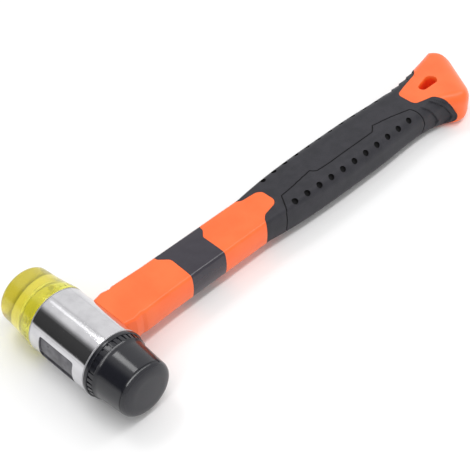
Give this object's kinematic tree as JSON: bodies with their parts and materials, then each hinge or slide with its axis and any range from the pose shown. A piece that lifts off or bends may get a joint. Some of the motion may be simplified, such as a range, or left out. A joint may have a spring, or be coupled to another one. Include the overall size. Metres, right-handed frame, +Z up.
{
  "type": "tiling mallet",
  "caption": "Double-faced mallet for setting tiles: a plated tube head with a black rubber face and a translucent yellow face that unscrew, on a moulded handle with a soft grip.",
  "frame": {"origin": "on the surface that the mallet lies on, under the middle of its bounding box", "axes": "+X along the handle from the head to the butt, +Y along the head to the yellow face, +Z up"},
  "size_m": [0.3014, 0.0914, 0.0352],
  "materials": {
    "plated_steel": "polished plating",
    "casting_resin": "matte, cast",
    "glass_fibre": "satin, pultruded",
    "orange_plastic": "satin, moulded",
    "soft_grip": "soft satin, moulded",
    "black_rubber": "glossy sides, matte striking end",
    "yellow_plastic": "translucent, gloss"
  },
  "bodies": {
    "mallet": {"head_tube": "plated_steel", "eye_potting": "casting_resin", "handle_core": "glass_fibre", "handle_body": "orange_plastic", "neck_band": "soft_grip", "grip": "soft_grip"},
    "rubber_face_seat": {"rubber_face_washer": "plated_steel"},
    "rubber_face_body": {"rubber_face": "black_rubber"},
    "clear_face_seat": {"clear_face_washer": "plated_steel"},
    "clear_face_body": {"clear_face": "yellow_plastic"}
  },
  "joints": [
    {"name": "rubber_face_advance", "type": "slide", "parent": "mallet", "child": "rubber_face_seat", "axis": [0, -1, 0], "range_m": [0, 0.006]},
    {"name": "rubber_face_turn", "type": "hinge", "parent": "rubber_face_seat", "child": "rubber_face_body", "pos_m": [-0.13315, -0.0206, 0.0176], "axis": [0, -1, 0], "range_deg": [0, 864]},
    {"name": "clear_face_advance", "type": "slide", "parent": "mallet", "child": "clear_face_seat", "axis": [0, 1, 0], "range_m": [0, 0.006]},
    {"name": "clear_face_turn", "type": "hinge", "parent": "clear_face_seat", "child": "clear_face_body", "pos_m": [-0.13315, 0.0194, 0.0176], "axis": [0, 1, 0], "range_deg": [0, 864]}
  ],
  "couplings": [
    {"joint": "rubber_face_turn", "follows": "rubber_face_advance", "rad_per_m": 2513.3},
    {"joint": "clear_face_turn", "follows": "clear_face_advance", "rad_per_m": 2513.3}
  ]
}
